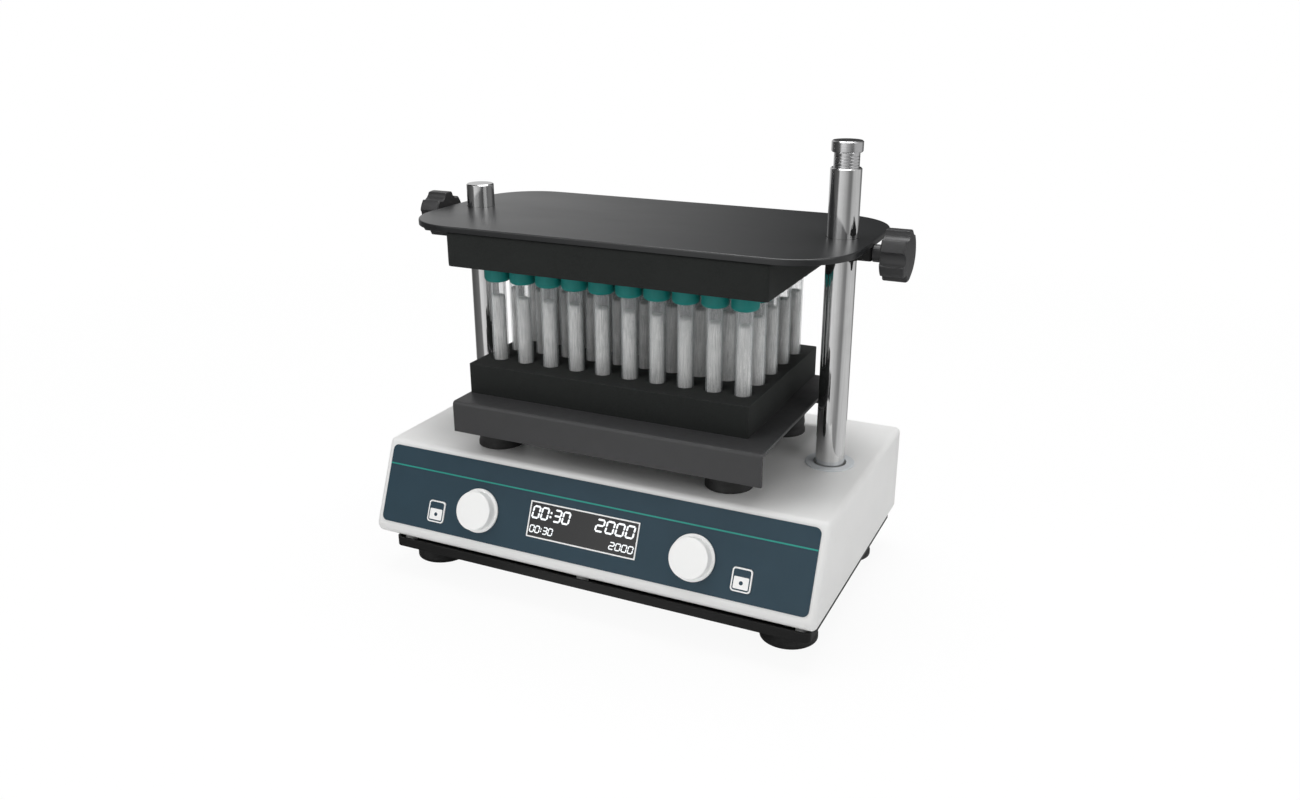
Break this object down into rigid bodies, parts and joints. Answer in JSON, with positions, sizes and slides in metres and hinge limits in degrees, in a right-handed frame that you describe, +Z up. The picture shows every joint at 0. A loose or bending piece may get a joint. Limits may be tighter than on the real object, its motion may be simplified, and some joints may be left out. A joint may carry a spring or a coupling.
{
  "type": "multi-tube vortex mixer",
  "caption": "Benchtop vortex mixer that shakes a foam rack of capped tubes under a clamp plate held on two posts",
  "frame": {"origin": "on the bench under the middle of the whole object's width and depth", "axes": "+X to the right seen from the front, +Y to the rear, +Z up; the sloped control panel faces -Y"},
  "size_m": [0.4416, 0.2517, 0.3745],
  "materials": {
    "white_housing": "fine texture, soft sheen",
    "black_pan": "satin black paint",
    "black_rubber": "matt",
    "bright_screws": "plain zinc",
    "blue_panel": "printed film, satin",
    "white_trim": "smooth, satin gloss",
    "dark_window": "glossy",
    "display_black": "matt",
    "green_board": "solder mask",
    "zinc_steel": "plain",
    "black_plastic": "fine texture",
    "polished_steel": "polished",
    "collar_grey": "satin",
    "machined_aluminium": "machined",
    "copper_stator": "varnished",
    "steel_race": "ground",
    "dark_tray": "fine texture powder coat",
    "black_foam": "closed-cell foam",
    "clear_glass": "clear",
    "pale_sample": "milky",
    "teal_cap": "moulded, satin",
    "black_plate": "satin black, smooth"
  },
  "bodies": {
    "base": {"upper_housing": "white_housing", "bottom_pan": "black_pan", "rubber_feet": "black_rubber", "bottom_screws": "bright_screws", "front_panel": "blue_panel", "display_frame": "white_trim", "display_window": "dark_window", "display_module": "display_black", "control_board": "green_board", "board_spacers": "zinc_steel", "encoders": "zinc_steel", "key_switches": "black_plastic", "left_post": "polished_steel", "right_post": "polished_steel", "post_cap": "polished_steel", "post_collars": "collar_grey", "post_sockets": "zinc_steel", "post_bolts": "bright_screws", "drive_frame": "zinc_steel", "frame_pillars": "zinc_steel", "motor_housing": "machined_aluminium", "motor_stator": "copper_stator", "motor_bearings": "steel_race", "idler_housings": "machined_aluminium", "idler_bearings": "steel_race", "rubber_boots": "black_rubber", "power_supply": "zinc_steel", "motor_driver": "machined_aluminium", "inlet_socket": "black_plastic", "rocker_frame": "black_plastic", "fan_frame": "black_plastic"},
    "drive_rotor": {"motor_rotor": "zinc_steel", "eccentric_hub": "zinc_steel"},
    "shaker_tray": {"tray": "dark_tray", "tray_hub": "machined_aluminium", "hub_bearing": "steel_race", "tray_cups": "machined_aluminium", "tray_bearings": "steel_race", "foam_rack": "black_foam", "tubes": "clear_glass", "samples": "pale_sample", "tube_caps": "teal_cap"},
    "clamp": {"clamp_plate": "black_plate", "cushion": "black_foam", "clamp_blocks": "black_pan", "block_screws": "bright_screws"},
    "left_pad": {"left_pad": "black_plastic"},
    "right_pad": {"right_pad": "black_plastic"},
    "left_clamp_knob": {"left_clamp_knob": "black_plastic"},
    "right_clamp_knob": {"right_clamp_knob": "black_plastic"},
    "time_knob": {"time_knob": "white_trim"},
    "speed_knob": {"speed_knob": "white_trim"},
    "left_key": {"left_key": "white_trim"},
    "right_key": {"right_key": "white_trim"},
    "power_rocker": {"power_rocker": "black_plastic"},
    "fan_rotor": {"fan_rotor": "black_plastic"},
    "idler_front_left": {"idler_crank_front_left": "zinc_steel"},
    "idler_front_right": {"idler_crank_front_right": "zinc_steel"},
    "idler_rear_left": {"idler_crank_rear_left": "zinc_steel"},
    "idler_rear_right": {"idler_crank_rear_right": "zinc_steel"}
  },
  "joints": [
    {"name": "drive_spin", "type": "hinge", "parent": "base", "child": "drive_rotor", "pos_m": [0, 0.01205, 0.098], "axis": [0, 0, 1], "continuous": true},
    {"name": "tray_orbit", "type": "hinge", "parent": "drive_rotor", "child": "shaker_tray", "pos_m": [0.002, 0.01205, 0.131], "axis": [0, 0, 1], "continuous": true},
    {"name": "idler_spin_front_left", "type": "hinge", "parent": "base", "child": "idler_front_left", "pos_m": [-0.106, -0.05845, 0.108], "axis": [0, 0, 1], "continuous": true},
    {"name": "idler_spin_front_right", "type": "hinge", "parent": "base", "child": "idler_front_right", "pos_m": [0.106, -0.05845, 0.108], "axis": [0, 0, 1], "continuous": true},
    {"name": "idler_spin_rear_left", "type": "hinge", "parent": "base", "child": "idler_rear_left", "pos_m": [-0.106, 0.07105, 0.108], "axis": [0, 0, 1], "continuous": true},
    {"name": "idler_spin_rear_right", "type": "hinge", "parent": "base", "child": "idler_rear_right", "pos_m": [0.106, 0.07105, 0.108], "axis": [0, 0, 1], "continuous": true},
    {"name": "clamp_lift", "type": "slide", "parent": "base", "child": "clamp", "axis": [0, 0, 1], "range_m": [0, 0.03]},
    {"name": "left_pad_slide", "type": "slide", "parent": "clamp", "child": "left_pad", "axis": [-1, 0, 0], "range_m": [0, 0.003]},
    {"name": "right_pad_slide", "type": "slide", "parent": "clamp", "child": "right_pad", "axis": [1, 0, 0], "range_m": [0, 0.003]},
    {"name": "left_clamp_turn", "type": "hinge", "parent": "left_pad", "child": "left_clamp_knob", "pos_m": [-0.2, 0.01705, 0.29122], "axis": [-1, 0, 0], "range_deg": [0, 720]},
    {"name": "right_clamp_turn", "type": "hinge", "parent": "right_pad", "child": "right_clamp_knob", "pos_m": [0.2, 0.01705, 0.29122], "axis": [1, 0, 0], "range_deg": [0, 720]},
    {"name": "time_turn", "type": "hinge", "parent": "base", "child": "time_knob", "pos_m": [-0.0976, -0.11, 0.07039], "axis": [0, -0.9223, 0.3864], "continuous": true},
    {"name": "speed_turn", "type": "hinge", "parent": "base", "child": "speed_knob", "pos_m": [0.0976, -0.11, 0.07039], "axis": [0, -0.9223, 0.3864], "continuous": true},
    {"name": "left_key_press", "type": "slide", "parent": "base", "child": "left_key", "axis": [0, 0.9223, -0.3864], "range_m": [0, 0.0007], "stiffness_N_per_m": 800},
    {"name": "right_key_press", "type": "slide", "parent": "base", "child": "right_key", "axis": [0, 0.9223, -0.3864], "range_m": [0, 0.0007], "stiffness_N_per_m": 800},
    {"name": "power_rock", "type": "hinge", "parent": "base", "child": "power_rocker", "pos_m": [0.106, 0.12075, 0.072], "axis": [1, 0, 0], "range_deg": [-20, 0]},
    {"name": "fan_spin", "type": "hinge", "parent": "base", "child": "fan_rotor", "pos_m": [-0.125, 0.11205, 0.072], "axis": [0, 1, 0], "continuous": true}
  ],
  "couplings": [
    {"joint": "tray_orbit", "follows": "drive_spin", "ratio": -1},
    {"joint": "idler_spin_front_left", "follows": "drive_spin", "ratio": 1},
    {"joint": "idler_spin_front_right", "follows": "drive_spin", "ratio": 1},
    {"joint": "idler_spin_rear_left", "follows": "drive_spin", "ratio": 1},
    {"joint": "idler_spin_rear_right", "follows": "drive_spin", "ratio": 1},
    {"joint": "left_pad_slide", "follows": "left_clamp_turn", "m_per_rad": 0.00023873},
    {"joint": "right_pad_slide", "follows": "right_clamp_turn", "m_per_rad": 0.00023873}
  ]
}
